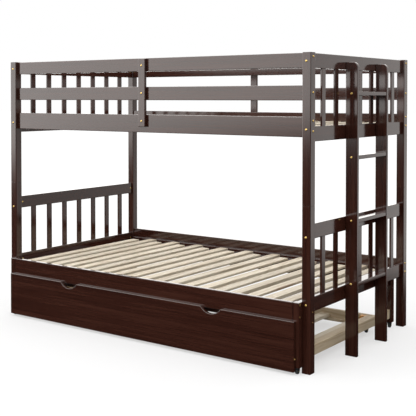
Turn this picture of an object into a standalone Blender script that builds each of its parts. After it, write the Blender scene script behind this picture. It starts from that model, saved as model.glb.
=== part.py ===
"""Twin bunk bed with an end ladder, a pull-out bed under the lower bunk and a trundle base on casters.

X runs along the bed and the ladder is on the +X end. Y runs across it and the front is -Y. Z is up, and
the bed stands on Z = 0. Metres. The origin is the middle of the whole footprint, ladder and trundle
included.

The lower bunk has two sets of slats that lie between each other. The fixed set belongs to the bed. The other
set belongs to a frame on casters that rolls out of the front and doubles the bed's width. The trundle base
rolls between the legs of that frame, behind a front panel of its own.
"""
import math

import bmesh
import bpy
from mathutils import Matrix

GAP = 0.0003                      # between two pieces that touch

# Corner posts, each in two lengths so that the bunks come apart
LENGTH = 2.020                    # over the posts
WIDTH = 1.095                     # over the posts
HEIGHT = 1.483                    # floor to the top of the posts
POST = 0.045
POST_JOINT = 0.776                # where an upper post stands on a lower one
DOWEL_RADIUS = 0.006
DOWEL_LENGTH = 0.030
DOWEL_CLEARANCE = 0.0005

# Long rails between the posts, the same at the front and the rear
RAIL_THICK = 0.020
RAIL_RECESS = 0.018               # behind the outer face of the posts
TOP_DROP = 0.002                  # top edges of the highest rails, under the top of the posts
GUARD_HIGH = 0.070
GUARD_SPACE = 0.080               # between the two guard rails
SIDE_HIGH = 0.094                 # bed side rail
SIDE_SPACE = 0.076                # between the lower guard rail and the side rail
UPRIGHT_WIDE = 0.045
UPRIGHT_LAP = 0.064               # how far the upright reaches down over the side rail

# Upper bunk's slats
UPPER_SLAT_COUNT = 13
UPPER_SLAT_MARGIN = 0.049         # between the end slats and the inner faces of the posts
UPPER_SLAT_THICK = 0.014
UPPER_SLAT_DROP = 0.047           # slat tops, under the top of the side rail
UPPER_SLAT_SHORT = 0.0025         # slat ends, from the side rails
LEDGE_WIDE = 0.020
LEDGE_HIGH = 0.024

# End panels
PANEL_HIGH = 0.410
PANEL_RAIL_HIGH = 0.070
PANEL_RAIL_THICK = 0.020
PANEL_RECESS = 0.014              # behind the outer face of the posts
LOWER_PANEL_TOP = 0.6895
PANEL_SLAT_COUNT = 7
PANEL_SLAT_WIDE = 0.036
PANEL_SLAT_THICK = 0.010
PANEL_SLAT_SETBACK = 0.003
TENON = 0.012

# Lower bunk
SLAT_TOP = 0.322                  # both sets of slats
SLAT_WIDE = 0.056
FIXED_SLAT_COUNT = 9
FIXED_SLAT_THICK = 0.018
PULLOUT_SLAT_THICK = 0.012
LOWER_RAIL_TOP = 0.377
LOWER_RAIL_HIGH = 0.096
LIP_WIDE = 0.0195                 # level with the slats, along the rear rail
SEAT_WIDE = 0.0215                # carries the rear ends of the fixed slats
BEAM_HIGH = 0.094
BEAM_THICK = 0.020
BEAM_RECESS = 0.007

# Ladder, bolted on the outside of the end panels' rails
STILE_THICK = 0.020
STILE_DEEP = 0.0637
STILE_DROP = 0.0345               # top of the stiles, under the top of the posts
STILE_CORNER = 0.026
LADDER_INSIDE = 0.318
LADDER_Y = 0.006
TREAD_COUNT = 4
TREAD_THICK = 0.020
TREAD_SETBACK = 0.002
TOP_TREAD_DROP = 0.1545           # under the top of the stiles
BOTTOM_TREAD_Z = 0.3565

# Pull-out bed
LEG = 0.036
LEG_END_CLEARANCE = 0.004         # to the end panels
LEG_SEAT_CLEARANCE = 0.0025       # to the seat on the rear rail
PULLOUT_TOP = 0.3335
PULLOUT_RAIL_HIGH = 0.094
PULLOUT_RAIL_THICK = 0.018
PULLOUT_LEDGE_WIDE = 0.021
REAR_RAIL_HIGH = 0.066
REAR_RAIL_THICK = 0.024
REAR_RAIL_CLEARANCE = 0.003       # under the fixed slats
REAR_RAIL_SHORT = 0.012           # each end, from the outer face of the legs
SLAT_OVERHANG_SHORT = 0.010       # slat ends, short of the rear rail's back
STRETCHER_THICK = 0.018
STRETCHER_HIGH = 0.050
STRETCHER_Z = 0.054

# Trundle base
TRUNDLE_PANEL_THICK = 0.018
TRUNDLE_PANEL_Z = 0.014
TRUNDLE_PANEL_TOP = 0.248
TRUNDLE_PANEL_SHORT = 0.017       # each end, from the outer face of the legs
PULL_X = 0.484                    # middle of each finger pull
PULL_WIDE = 0.120
PULL_DEEP = 0.030
END_RAIL_THICK = 0.037
END_RAIL_TOP = 0.084
END_RAIL_CLEARANCE = 0.021        # to the legs
BACK_RAIL_THICK = 0.020
BACK_RAIL_Z = 0.024
BACK_RAIL_TOP = 0.086
BACK_RAIL_FORWARD = 0.1695        # behind it, to the inner face of the rear rail
CORNER_BLOCK = 0.030
TRUNDLE_SLAT_COUNT = 9
TRUNDLE_SLAT_THICK = 0.018
TRUNDLE_SLAT_TOP = 0.060
TRUNDLE_SLAT_MARGIN = 0.021       # between the end slats and the end rails
TRUNDLE_BATTEN_WIDE = 0.020
TRUNDLE_BATTEN_HIGH = 0.017

# Webbing tape along the front ends of a set of slats, which keeps them at their pitch
TAPE_WIDE = 0.015
TAPE_THICK = 0.0016
TAPE_LIFT = 0.0002                # above the undersides of the slats

# Fixed casters
CASTER_HIGH = 0.031
WHEEL_RADIUS = 0.013
WHEEL_WIDE = 0.012
WHEEL_CROWN = 0.0015
HUB_RADIUS = 0.006
HUB_PROUD = 0.0008
AXLE_RADIUS = 0.003
AXLE_CLEARANCE = 0.0004
WHEEL_SIDE_CLEARANCE = 0.0006
CHEEK_THICK = 0.0018
CHEEK_RADIUS = 0.0065
PLATE_THICK = 0.003
PLATE_LONG = 0.034
PLATE_MARGIN = 0.003              # plate beyond the cheeks
TRUNDLE_CASTER_INSET = 0.045      # from each end of the end rails

# Softened edges: radius and number of steps
POST_EDGE = (0.0035, 2)
BOARD_EDGE = (0.0025, 2)
PANEL_EDGE = (0.002, 1)
SLAT_EDGE = (0.0015, 1)
FINE_EDGE = (0.0006, 1)
PANEL_FRONT_EDGE = (0.004, 3)
SQUARE = None
SHARP = math.radians(30)
ARC_STEP = math.radians(11)

# Finishes: linear colour, roughness, metallic
ESPRESSO = ((0.022, 0.007, 0.005), 0.16, 0.0)
PINE = ((0.62, 0.44, 0.25), 0.55, 0.0)
BLOCK_PINE = ((0.50, 0.28, 0.12), 0.55, 0.0)
BLACK_NYLON = ((0.012, 0.012, 0.013), 0.45, 0.0)
WHEEL_GREY = ((0.030, 0.030, 0.032), 0.60, 0.0)

# Places that several pieces share
POST_X = LENGTH / 2 - POST                      # inner faces of the posts
POST_Y = WIDTH / 2 - POST
RAIL_OUT = WIDTH / 2 - RAIL_RECESS              # outer and inner faces of the long rails
RAIL_IN = RAIL_OUT - RAIL_THICK
PANEL_OUT = LENGTH / 2 - PANEL_RECESS
PANEL_IN = PANEL_OUT - PANEL_RAIL_THICK
TOP = HEIGHT - TOP_DROP
MID_RAIL_TOP = TOP - GUARD_HIGH - GUARD_SPACE
SIDE_TOP = MID_RAIL_TOP - GUARD_HIGH - SIDE_SPACE
STILE_IN = PANEL_OUT + GAP
STILE_OUT = STILE_IN + STILE_DEEP
STILE_TOP = HEIGHT - STILE_DROP
SLAT_PITCH = 2 * POST_X / (FIXED_SLAT_COUNT + 1)
FIXED_SEAT = SLAT_TOP - FIXED_SLAT_THICK - GAP
PULLOUT_SEAT = SLAT_TOP - PULLOUT_SLAT_THICK - GAP
LIP_FRONT = RAIL_IN - LIP_WIDE
SEAT_FRONT = LIP_FRONT - SEAT_WIDE
BEAM_FRONT = -WIDTH / 2 + BEAM_RECESS
LEG_OUT = PANEL_IN - LEG_END_CLEARANCE
LEG_IN = LEG_OUT - LEG
LEG_FRONT = -WIDTH / 2 - GAP - LEG              # pushed in as far as the posts
REAR_LEG_FRONT = SEAT_FRONT - LEG_SEAT_CLEARANCE - LEG
PULLOUT_RAIL_BACK = LEG_FRONT + PULLOUT_RAIL_THICK
TRUNDLE_BACK = LEG_FRONT - GAP                  # pushed in as far as the legs
TRUNDLE_FRONT = TRUNDLE_BACK - TRUNDLE_PANEL_THICK
END_RAIL_OUT = LEG_IN - END_RAIL_CLEARANCE
END_RAIL_IN = END_RAIL_OUT - END_RAIL_THICK
BACK_RAIL_BACK = RAIL_IN - BACK_RAIL_FORWARD
BACK_RAIL_FRONT = BACK_RAIL_BACK - BACK_RAIL_THICK
TRUNDLE_SEAT = TRUNDLE_SLAT_TOP - TRUNDLE_SLAT_THICK - GAP
CENTRE_X = (STILE_OUT - LENGTH / 2) / 2         # middle of the footprint, from the middle of the posts
CENTRE_Y = (WIDTH / 2 + TRUNDLE_FRONT) / 2

LEFT_RIGHT = (("left", -1), ("right", 1))
FRONT_REAR = (("front", -1), ("rear", 1))


# Shapes

def ease(shape, edge):
    """Rounds each sharp outside edge, or leaves them square."""
    if edge is SQUARE:
        return shape
    radius, steps = edge
    sharp = [e for e in shape.edges if e.is_convex and e.calc_face_angle(0.0) > SHARP]
    bmesh.ops.bevel(shape, geom=sharp, offset=radius, segments=steps, profile=0.5, affect="EDGES")
    return shape


def block(low, high, edge):
    """A board between two corners."""
    shape = bmesh.new()
    size = [b - a for a, b in zip(low, high)]
    middle = [(a + b) / 2 for a, b in zip(low, high)]
    bmesh.ops.create_cube(shape, size=1.0, matrix=Matrix.LocRotScale(middle, None, size))
    return ease(shape, edge)


def extruded(outline, axis, low, high, edge):
    """An outline across X (as y, z) or across Y (as x, z), drawn out from low to high."""
    shape = bmesh.new()
    if axis == "X":
        points = [(low, a, b) for a, b in outline]
        way = (high - low, 0, 0)
    else:
        points = [(a, low, b) for a, b in outline]
        way = (0, high - low, 0)
    face = shape.faces.new([shape.verts.new(p) for p in points])
    drawn = bmesh.ops.extrude_face_region(shape, geom=[face])
    moved = [g for g in drawn["geom"] if isinstance(g, bmesh.types.BMVert)]
    bmesh.ops.translate(shape, verts=moved, vec=way)
    bmesh.ops.recalc_face_normals(shape, faces=shape.faces)
    return ease(shape, edge)


def slat_set(slats, low, top, tape_y):
    """Slats across the bed, each given as (middle, front end, rear end), and the tape that joins them."""
    boards = [block((x - SLAT_WIDE / 2, front, low), (x + SLAT_WIDE / 2, back, top), SLAT_EDGE)
              for x, front, back in slats]
    tape_low = low + TAPE_LIFT
    tape = block((slats[0][0], tape_y - TAPE_WIDE / 2, tape_low),
                 (slats[-1][0], tape_y + TAPE_WIDE / 2, tape_low + TAPE_THICK), SQUARE)
    return combined(together(boards), tape, "UNION")


def spaced(count, pitch):
    """Places at one pitch, about the middle of the bed."""
    return [(i - (count - 1) / 2) * pitch for i in range(count)]


def arc(centre, radius, start, end):
    """Points along an arc, both ends included."""
    steps = max(2, math.ceil(abs(end - start) / ARC_STEP))
    turns = [start + (end - start) * i / steps for i in range(steps + 1)]
    return [(centre[0] + radius * math.cos(t), centre[1] + radius * math.sin(t)) for t in turns]


def rod(axis, centre, radius, length, sides):
    """A round bar along an axis, by its middle."""
    shape = bmesh.new()
    turn = Matrix.Rotation(math.pi / 2, 4, "Y") if axis == "X" else Matrix.Identity(4)
    bmesh.ops.create_cone(shape, cap_ends=True, segments=sides, radius1=radius, radius2=radius, depth=length,
                          matrix=Matrix.Translation(centre) @ turn)
    return shape


def turned(profile, sides):
    """A closed profile (x, radius) turned about the X axis."""
    shape = bmesh.new()
    rings = []
    for i in range(sides):
        t = 2 * math.pi * i / sides
        rings.append([shape.verts.new((x, r * math.cos(t), r * math.sin(t))) for x, r in profile])
    for i, ring in enumerate(rings):
        following = rings[(i + 1) % sides]
        for j in range(len(profile)):
            k = (j + 1) % len(profile)
            shape.faces.new((ring[j], ring[k], following[k], following[j]))
    bmesh.ops.recalc_face_normals(shape, faces=shape.faces)
    return shape


def together(shapes):
    """Several separate shapes as one mesh."""
    whole = bmesh.new()
    for shape in shapes:
        mesh = bpy.data.meshes.new("piece")
        shape.to_mesh(mesh)
        shape.free()
        whole.from_mesh(mesh)
        bpy.data.meshes.remove(mesh)
    return whole


def place(name, shape):
    """Links a shape to the scene as an object."""
    mesh = bpy.data.meshes.new(name)
    shape.to_mesh(mesh)
    shape.free()
    thing = bpy.data.objects.new(name, mesh)
    bpy.context.scene.collection.objects.link(thing)
    return thing


def combined(base, tool, operation):
    """Joins a shape to another one, or cuts it with it."""
    kept = place("base", base)
    used = place("tool", tool)
    change = kept.modifiers.new(operation, "BOOLEAN")
    change.operation = operation
    change.object = used
    change.solver = "EXACT"
    bpy.context.view_layer.update()
    view = bpy.context.evaluated_depsgraph_get()
    mesh = bpy.data.meshes.new_from_object(kept.evaluated_get(view))
    result = bmesh.new()
    result.from_mesh(mesh)
    bpy.data.meshes.remove(mesh)
    for thing in (kept, used):
        bpy.data.objects.remove(thing, do_unlink=True)
    return result


# Scene

def clear():
    """Removes what is in the scene."""
    for thing in list(bpy.data.objects):
        bpy.data.objects.remove(thing, do_unlink=True)


def group(name, parent, spot=(0, 0, 0)):
    """An empty that a set of pieces hangs from."""
    holder = bpy.data.objects.new(name, None)
    bpy.context.scene.collection.objects.link(holder)
    holder.location = spot
    holder.parent = parent
    return holder


def piece(name, shape, finish, parent, spot):
    """One sub-part. Its shape is given in its group's frame, and its own origin is put at spot."""
    bmesh.ops.translate(shape, verts=shape.verts, vec=[-s for s in spot])
    thing = place(name, shape)
    colour, roughness, metallic = finish
    material = bpy.data.materials.new(name + "_finish")
    material.use_nodes = True
    shader = material.node_tree.nodes["Principled BSDF"]
    shader.inputs["Base Color"].default_value = (*colour, 1.0)
    shader.inputs["Roughness"].default_value = roughness
    shader.inputs["Metallic"].default_value = metallic
    material.diffuse_color = (*colour, 1.0)
    thing.data.materials.append(material)
    thing.data.shade_smooth()
    thing.data.set_sharp_from_angle(angle=SHARP)
    thing.location = spot
    thing.parent = parent
    return thing


# Bed frame

def post_box(side, end, low, high):
    """The space of one post, from its corner of the bed."""
    near = sorted((side * POST_Y, side * WIDTH / 2))
    along = sorted((end * POST_X, end * LENGTH / 2))
    return block((along[0], near[0], low), (along[1], near[1], high), POST_EDGE)


def posts(bed):
    """Lower posts with a bore in the top, and upper posts with a dowel that stands in it."""
    for across, side in FRONT_REAR:
        for along, end in LEFT_RIGHT:
            x = end * (POST_X + POST / 2)
            y = side * (POST_Y + POST / 2)
            bore = rod("Z", (x, y, POST_JOINT), DOWEL_RADIUS + DOWEL_CLEARANCE,
                       2 * (DOWEL_LENGTH + DOWEL_CLEARANCE), 20)
            lower = combined(post_box(side, end, 0.0, POST_JOINT), bore, "DIFFERENCE")
            piece(f"lower_post_{across}_{along}", lower, ESPRESSO, bed, (x, y, 0.0))
            foot = POST_JOINT + GAP
            dowel = rod("Z", (x, y, foot), DOWEL_RADIUS, 2 * DOWEL_LENGTH, 20)
            upper = combined(post_box(side, end, foot, HEIGHT), dowel, "UNION")
            piece(f"upper_post_{across}_{along}", upper, ESPRESSO, bed, (x, y, foot))


def end_panels(bed):
    """Two rails and their slats, glued up, between the front and rear posts."""
    half = POST_Y - GAP
    space = (2 * POST_Y - PANEL_SLAT_COUNT * PANEL_SLAT_WIDE) / (PANEL_SLAT_COUNT + 1)
    pitch = space + PANEL_SLAT_WIDE
    slat_out = PANEL_OUT - PANEL_SLAT_SETBACK
    for level, top in (("lower", LOWER_PANEL_TOP), ("upper", TOP)):
        bottom = top - PANEL_HIGH
        for along, end in LEFT_RIGHT:
            rail_x = sorted((end * PANEL_IN, end * PANEL_OUT))
            slat_x = sorted((end * (slat_out - PANEL_SLAT_THICK), end * slat_out))
            rails = [block((rail_x[0], -half, z), (rail_x[1], half, z + PANEL_RAIL_HIGH), PANEL_EDGE)
                     for z in (bottom, top - PANEL_RAIL_HIGH)]
            low = bottom + PANEL_RAIL_HIGH - TENON
            high = top - PANEL_RAIL_HIGH + TENON
            slats = [block((slat_x[0], y - PANEL_SLAT_WIDE / 2, low),
                           (slat_x[1], y + PANEL_SLAT_WIDE / 2, high), SLAT_EDGE)
                     for y in spaced(PANEL_SLAT_COUNT, pitch)]
            shape = combined(together(rails), together(slats), "UNION")
            spot = (end * (PANEL_IN + PANEL_OUT) / 2, 0.0, bottom)
            piece(f"{level}_end_panel_{along}", shape, ESPRESSO, bed, spot)


def guard_rails(bed):
    """Two guard rails and the upright that ties them to the side rail, at the front and the rear."""
    half = POST_X - GAP
    for across, side in FRONT_REAR:
        near = sorted((side * RAIL_IN, side * RAIL_OUT))
        middle = sum(near) / 2
        for level, top in (("top", TOP), ("mid", MID_RAIL_TOP)):
            shape = block((-half, near[0], top - GUARD_HIGH), (half, near[1], top), BOARD_EDGE)
            piece(f"guard_{level}_rail_{across}", shape, ESPRESSO, bed, (0.0, middle, top - GUARD_HIGH))
        near = sorted((side * (RAIL_OUT + GAP), side * (WIDTH / 2 - GAP)))
        low = SIDE_TOP - UPRIGHT_LAP
        half_wide = UPRIGHT_WIDE / 2
        shape = block((-half_wide, near[0], low), (half_wide, near[1], TOP - TOP_DROP), BOARD_EDGE)
        piece(f"guard_upright_{across}", shape, ESPRESSO, bed, (0.0, sum(near) / 2, low))


def upper_bunk(bed):
    """Side rails with a ledge glued along the inside, and the slats that lie on the ledges."""
    half = POST_X - GAP
    slat_top = SIDE_TOP - UPPER_SLAT_DROP
    slat_low = slat_top - UPPER_SLAT_THICK
    ledge_top = slat_low - GAP
    for across, side in FRONT_REAR:
        inner = RAIL_IN - LEDGE_WIDE
        outline = [(RAIL_OUT, SIDE_TOP - SIDE_HIGH), (RAIL_OUT, SIDE_TOP), (RAIL_IN, SIDE_TOP),
                   (RAIL_IN, ledge_top), (inner, ledge_top), (inner, ledge_top - LEDGE_HIGH),
                   (RAIL_IN, ledge_top - LEDGE_HIGH), (RAIL_IN, SIDE_TOP - SIDE_HIGH)]
        outline = [(side * y, z) for y, z in outline]
        shape = extruded(outline, "X", -half, half, BOARD_EDGE)
        spot = (0.0, side * (RAIL_IN + RAIL_OUT) / 2, SIDE_TOP - SIDE_HIGH)
        piece(f"upper_side_rail_{across}", shape, ESPRESSO, bed, spot)
    last = POST_X - UPPER_SLAT_MARGIN - SLAT_WIDE / 2
    reach = RAIL_IN - UPPER_SLAT_SHORT
    places = spaced(UPPER_SLAT_COUNT, 2 * last / (UPPER_SLAT_COUNT - 1))
    shape = slat_set([(x, -reach, reach) for x in places], slat_low, slat_top, LEDGE_WIDE / 2 - RAIL_IN)
    piece("upper_slat_roll", shape, PINE, bed, (0.0, 0.0, slat_low))


def lower_bunk(bed):
    """Rear rail with a rebated ledge, front beam, and the fixed slats between them."""
    half = POST_X - GAP
    low = LOWER_RAIL_TOP - LOWER_RAIL_HIGH
    outline = [(RAIL_OUT, low), (RAIL_OUT, LOWER_RAIL_TOP), (RAIL_IN, LOWER_RAIL_TOP), (RAIL_IN, SLAT_TOP),
               (LIP_FRONT, SLAT_TOP), (LIP_FRONT, FIXED_SEAT), (SEAT_FRONT, FIXED_SEAT), (SEAT_FRONT, low)]
    shape = extruded(outline, "X", -half, half, BOARD_EDGE)
    piece("lower_rear_rail", shape, ESPRESSO, bed, (0.0, (RAIL_IN + RAIL_OUT) / 2, low))
    beam_back = BEAM_FRONT + BEAM_THICK
    beam_low = FIXED_SEAT - BEAM_HIGH
    shape = block((-half, BEAM_FRONT, beam_low), (half, beam_back, FIXED_SEAT), BOARD_EDGE)
    piece("lower_front_beam", shape, ESPRESSO, bed, (0.0, (BEAM_FRONT + beam_back) / 2, beam_low))
    slat_low = SLAT_TOP - FIXED_SLAT_THICK
    slats = [(x, BEAM_FRONT, LIP_FRONT - GAP) for x in spaced(FIXED_SLAT_COUNT, SLAT_PITCH)]
    shape = slat_set(slats, slat_low, SLAT_TOP, (BEAM_FRONT + beam_back) / 2)
    piece("fixed_slat_set", shape, PINE, bed, (0.0, 0.0, slat_low))


def ladder(bed):
    """Two stiles with a rounded outer corner at the top, and flat treads between them."""
    inside = LADDER_INSIDE / 2
    corner = (STILE_OUT - STILE_CORNER, STILE_TOP - STILE_CORNER)
    outline = [(STILE_IN, 0.0), (STILE_OUT, 0.0)] + arc(corner, STILE_CORNER, 0, math.pi / 2)
    outline.append((STILE_IN, STILE_TOP))
    for across, side in FRONT_REAR:
        near = sorted((LADDER_Y + side * inside, LADDER_Y + side * (inside + STILE_THICK)))
        shape = extruded(outline, "Y", near[0], near[1], BOARD_EDGE)
        piece(f"ladder_stile_{across}", shape, ESPRESSO, bed, (STILE_IN, sum(near) / 2, 0.0))
    reach = inside - GAP
    rise = (STILE_TOP - TOP_TREAD_DROP - BOTTOM_TREAD_Z) / (TREAD_COUNT - 1)
    for i in range(TREAD_COUNT):
        z = BOTTOM_TREAD_Z + i * rise
        shape = block((STILE_IN + TREAD_SETBACK, LADDER_Y - reach, z - TREAD_THICK / 2),
                      (STILE_OUT - TREAD_SETBACK, LADDER_Y + reach, z + TREAD_THICK / 2), BOARD_EDGE)
        piece(f"ladder_tread_{i + 1}", shape, ESPRESSO, bed, ((STILE_IN + STILE_OUT) / 2, LADDER_Y, z))


# Casters

def caster(label, spot, parent):
    """A fixed caster under a leg or a rail: a fork with its axle, and a wheel that turns on it."""
    x, y = spot
    inside = WHEEL_WIDE / 2 + HUB_PROUD + WHEEL_SIDE_CLEARANCE
    outside = inside + CHEEK_THICK
    plate_low = CASTER_HIGH - PLATE_THICK
    plate = block((x - outside - PLATE_MARGIN, y - PLATE_LONG / 2, plate_low),
                  (x + outside + PLATE_MARGIN, y + PLATE_LONG / 2, CASTER_HIGH), FINE_EDGE)
    cheek_top = plate_low + PLATE_THICK / 2
    outline = arc((y, WHEEL_RADIUS), CHEEK_RADIUS, -math.pi, 0)
    outline += [(y + CHEEK_RADIUS * 1.6, cheek_top), (y - CHEEK_RADIUS * 1.6, cheek_top)]
    cheeks = together([extruded(outline, "X", x + low, x + high, SQUARE)
                       for low, high in ((-outside, -inside), (inside, outside))])
    axle = rod("X", (x, y, WHEEL_RADIUS), AXLE_RADIUS, 2 * outside + CHEEK_THICK, 12)
    fork = combined(combined(plate, cheeks, "UNION"), axle, "UNION")
    piece(label.format("fork"), fork, BLACK_NYLON, parent, (x, y, CASTER_HIGH))
    half = WHEEL_WIDE / 2
    hub = half + HUB_PROUD
    bore = AXLE_RADIUS + AXLE_CLEARANCE
    tread = WHEEL_RADIUS - WHEEL_CROWN
    profile = [(-hub, bore), (-hub, HUB_RADIUS), (-half, tread), (-half + WHEEL_CROWN, WHEEL_RADIUS),
               (half - WHEEL_CROWN, WHEEL_RADIUS), (half, tread), (hub, HUB_RADIUS), (hub, bore)]
    wheel = turned(profile, 20)
    bmesh.ops.translate(wheel, verts=wheel.verts, vec=(x, y, WHEEL_RADIUS))
    piece(label.format("wheel"), wheel, WHEEL_GREY, parent, (x, y, WHEEL_RADIUS))


# Pull-out bed

def pullout_frame(pullout):
    """Front rail with a ledge, rear rail with a land under each slat, four legs and two low stretchers."""
    half = LEG_IN - GAP
    ledge_back = PULLOUT_RAIL_BACK + PULLOUT_LEDGE_WIDE
    low = PULLOUT_TOP - PULLOUT_RAIL_HIGH
    outline = [(LEG_FRONT, low), (LEG_FRONT, PULLOUT_TOP), (PULLOUT_RAIL_BACK, PULLOUT_TOP),
               (PULLOUT_RAIL_BACK, PULLOUT_SEAT), (ledge_back, PULLOUT_SEAT),
               (ledge_back, PULLOUT_SEAT - LEDGE_HIGH), (PULLOUT_RAIL_BACK, PULLOUT_SEAT - LEDGE_HIGH),
               (PULLOUT_RAIL_BACK, low)]
    shape = extruded(outline, "X", -half, half, BOARD_EDGE)
    piece("pullout_front_rail", shape, ESPRESSO, pullout, (0.0, (LEG_FRONT + PULLOUT_RAIL_BACK) / 2, low))
    back = REAR_LEG_FRONT - GAP
    front = back - REAR_RAIL_THICK
    rail_top = SLAT_TOP - FIXED_SLAT_THICK - REAR_RAIL_CLEARANCE
    half = LEG_OUT - REAR_RAIL_SHORT
    outline = [(-half, rail_top), (-half, rail_top - REAR_RAIL_HIGH), (half, rail_top - REAR_RAIL_HIGH),
               (half, rail_top)]
    for x in reversed(spaced(FIXED_SLAT_COUNT + 1, SLAT_PITCH)):
        outline += [(x + SLAT_WIDE / 2, rail_top), (x + SLAT_WIDE / 2, PULLOUT_SEAT),
                    (x - SLAT_WIDE / 2, PULLOUT_SEAT), (x - SLAT_WIDE / 2, rail_top)]
    shape = extruded(outline, "Y", front, back, SLAT_EDGE)
    spot = (0.0, (front + back) / 2, rail_top - REAR_RAIL_HIGH)
    piece("pullout_rear_rail", shape, ESPRESSO, pullout, spot)
    for along, end in LEFT_RIGHT:
        leg_x = sorted((end * LEG_IN, end * LEG_OUT))
        middle = sum(leg_x) / 2
        foot = CASTER_HIGH + GAP
        for across, y, top in (("front", LEG_FRONT, PULLOUT_TOP), ("rear", REAR_LEG_FRONT, rail_top)):
            shape = block((leg_x[0], y, foot), (leg_x[1], y + LEG, top), BOARD_EDGE)
            piece(f"pullout_leg_{across}_{along}", shape, ESPRESSO, pullout, (middle, y + LEG / 2, foot))
            caster(f"pullout_caster_{{}}_{across}_{along}", (middle, y + LEG / 2), pullout)
        low_corner = (middle - STRETCHER_THICK / 2, LEG_FRONT + LEG + GAP, STRETCHER_Z)
        high_corner = (middle + STRETCHER_THICK / 2, REAR_LEG_FRONT - GAP, STRETCHER_Z + STRETCHER_HIGH)
        shape = block(low_corner, high_corner, SLAT_EDGE)
        piece(f"pullout_stretcher_{along}", shape, PINE, pullout, (middle, 0.0, STRETCHER_Z))


def pullout_slats(pullout):
    """The slats that slide out between the fixed ones."""
    slat_low = SLAT_TOP - PULLOUT_SLAT_THICK
    front = PULLOUT_RAIL_BACK + GAP
    back = REAR_LEG_FRONT - SLAT_OVERHANG_SHORT
    slats = [(x, front, back) for x in spaced(FIXED_SLAT_COUNT + 1, SLAT_PITCH)]
    shape = slat_set(slats, slat_low, SLAT_TOP, PULLOUT_RAIL_BACK + PULLOUT_LEDGE_WIDE / 2)
    piece("pullout_slat_set", shape, PINE, pullout, (0.0, front, slat_low))


# Trundle base

def trundle_panel(trundle):
    """Front panel with two finger pulls in its top edge and a batten for the slats on its back."""
    half = LEG_OUT - TRUNDLE_PANEL_SHORT
    radius = (PULL_WIDE ** 2 / 4 + PULL_DEEP ** 2) / (2 * PULL_DEEP)
    spread = math.asin(PULL_WIDE / 2 / radius)
    outline = [(-half, TRUNDLE_PANEL_Z), (half, TRUNDLE_PANEL_Z), (half, TRUNDLE_PANEL_TOP)]
    for x in (PULL_X, -PULL_X):
        centre = (x, TRUNDLE_PANEL_TOP - PULL_DEEP + radius)
        outline += arc(centre, radius, -math.pi / 2 + spread, -math.pi / 2 - spread)
    outline.append((-half, TRUNDLE_PANEL_TOP))
    panel = extruded(outline, "Y", TRUNDLE_FRONT, TRUNDLE_BACK, PANEL_FRONT_EDGE)
    reach = END_RAIL_IN - GAP
    batten = block((-reach, TRUNDLE_BACK - TENON / 2, TRUNDLE_SEAT - TRUNDLE_BATTEN_HIGH),
                   (reach, TRUNDLE_BACK + TRUNDLE_BATTEN_WIDE, TRUNDLE_SEAT), SLAT_EDGE)
    shape = combined(panel, batten, "UNION")
    spot = (0.0, (TRUNDLE_FRONT + TRUNDLE_BACK) / 2, TRUNDLE_PANEL_Z)
    piece("trundle_front_panel", shape, ESPRESSO, trundle, spot)


def trundle_base(trundle):
    """End rails with a corner block, back rail with a ledge, and the slats."""
    low = CASTER_HIGH + GAP
    front = TRUNDLE_BACK + GAP
    back = BACK_RAIL_FRONT - GAP
    for along, end in LEFT_RIGHT:
        rail_x = sorted((end * END_RAIL_IN, end * END_RAIL_OUT))
        rail = block((rail_x[0], front, low), (rail_x[1], back, END_RAIL_TOP), SLAT_EDGE)
        block_x = sorted((end * (END_RAIL_IN - CORNER_BLOCK), end * (END_RAIL_IN + TENON)))
        corner = block((block_x[0], back - CORNER_BLOCK, low + TENON),
                       (block_x[1], back - GAP, END_RAIL_TOP - GAP), SLAT_EDGE)
        middle = sum(rail_x) / 2
        shape = combined(rail, corner, "UNION")
        piece(f"trundle_end_rail_{along}", shape, PINE, trundle, (middle, front, low))
        for across, y in (("front", front + TRUNDLE_CASTER_INSET), ("rear", back - TRUNDLE_CASTER_INSET)):
            caster(f"trundle_caster_{{}}_{across}_{along}", (middle, y), trundle)
    board = block((-END_RAIL_OUT, BACK_RAIL_FRONT, BACK_RAIL_Z),
                  (END_RAIL_OUT, BACK_RAIL_BACK, BACK_RAIL_TOP), SLAT_EDGE)
    reach = END_RAIL_IN - CORNER_BLOCK - GAP
    ledge = block((-reach, BACK_RAIL_FRONT - TRUNDLE_BATTEN_WIDE, TRUNDLE_SEAT - TRUNDLE_BATTEN_HIGH + GAP),
                  (reach, BACK_RAIL_FRONT + TENON, TRUNDLE_SEAT), SLAT_EDGE)
    shape = combined(board, ledge, "UNION")
    spot = (0.0, (BACK_RAIL_FRONT + BACK_RAIL_BACK) / 2, BACK_RAIL_Z)
    piece("trundle_back_rail", shape, PINE, trundle, spot)
    last = END_RAIL_IN - TRUNDLE_SLAT_MARGIN - SLAT_WIDE / 2
    slat_low = TRUNDLE_SLAT_TOP - TRUNDLE_SLAT_THICK
    slats = []
    for x in spaced(TRUNDLE_SLAT_COUNT, 2 * last / (TRUNDLE_SLAT_COUNT - 1)):
        beside_block = abs(x) + SLAT_WIDE / 2 > reach
        rear = back - CORNER_BLOCK - GAP if beside_block else back
        slats.append((x, front, rear))
    shape = slat_set(slats, slat_low, TRUNDLE_SLAT_TOP, TRUNDLE_BACK + TRUNDLE_BATTEN_WIDE / 2)
    piece("trundle_slat_set", shape, PINE, trundle, (0.0, front, slat_low))


def build():
    """The whole bed."""
    clear()
    bed = group("bed", None, (-CENTRE_X, -CENTRE_Y, 0.0))
    posts(bed)
    end_panels(bed)
    guard_rails(bed)
    upper_bunk(bed)
    lower_bunk(bed)
    ladder(bed)
    pullout = group("pullout", bed)
    pullout_frame(pullout)
    pullout_slats(pullout)
    trundle = group("trundle", pullout)
    trundle_panel(trundle)
    trundle_base(trundle)


build()
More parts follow.
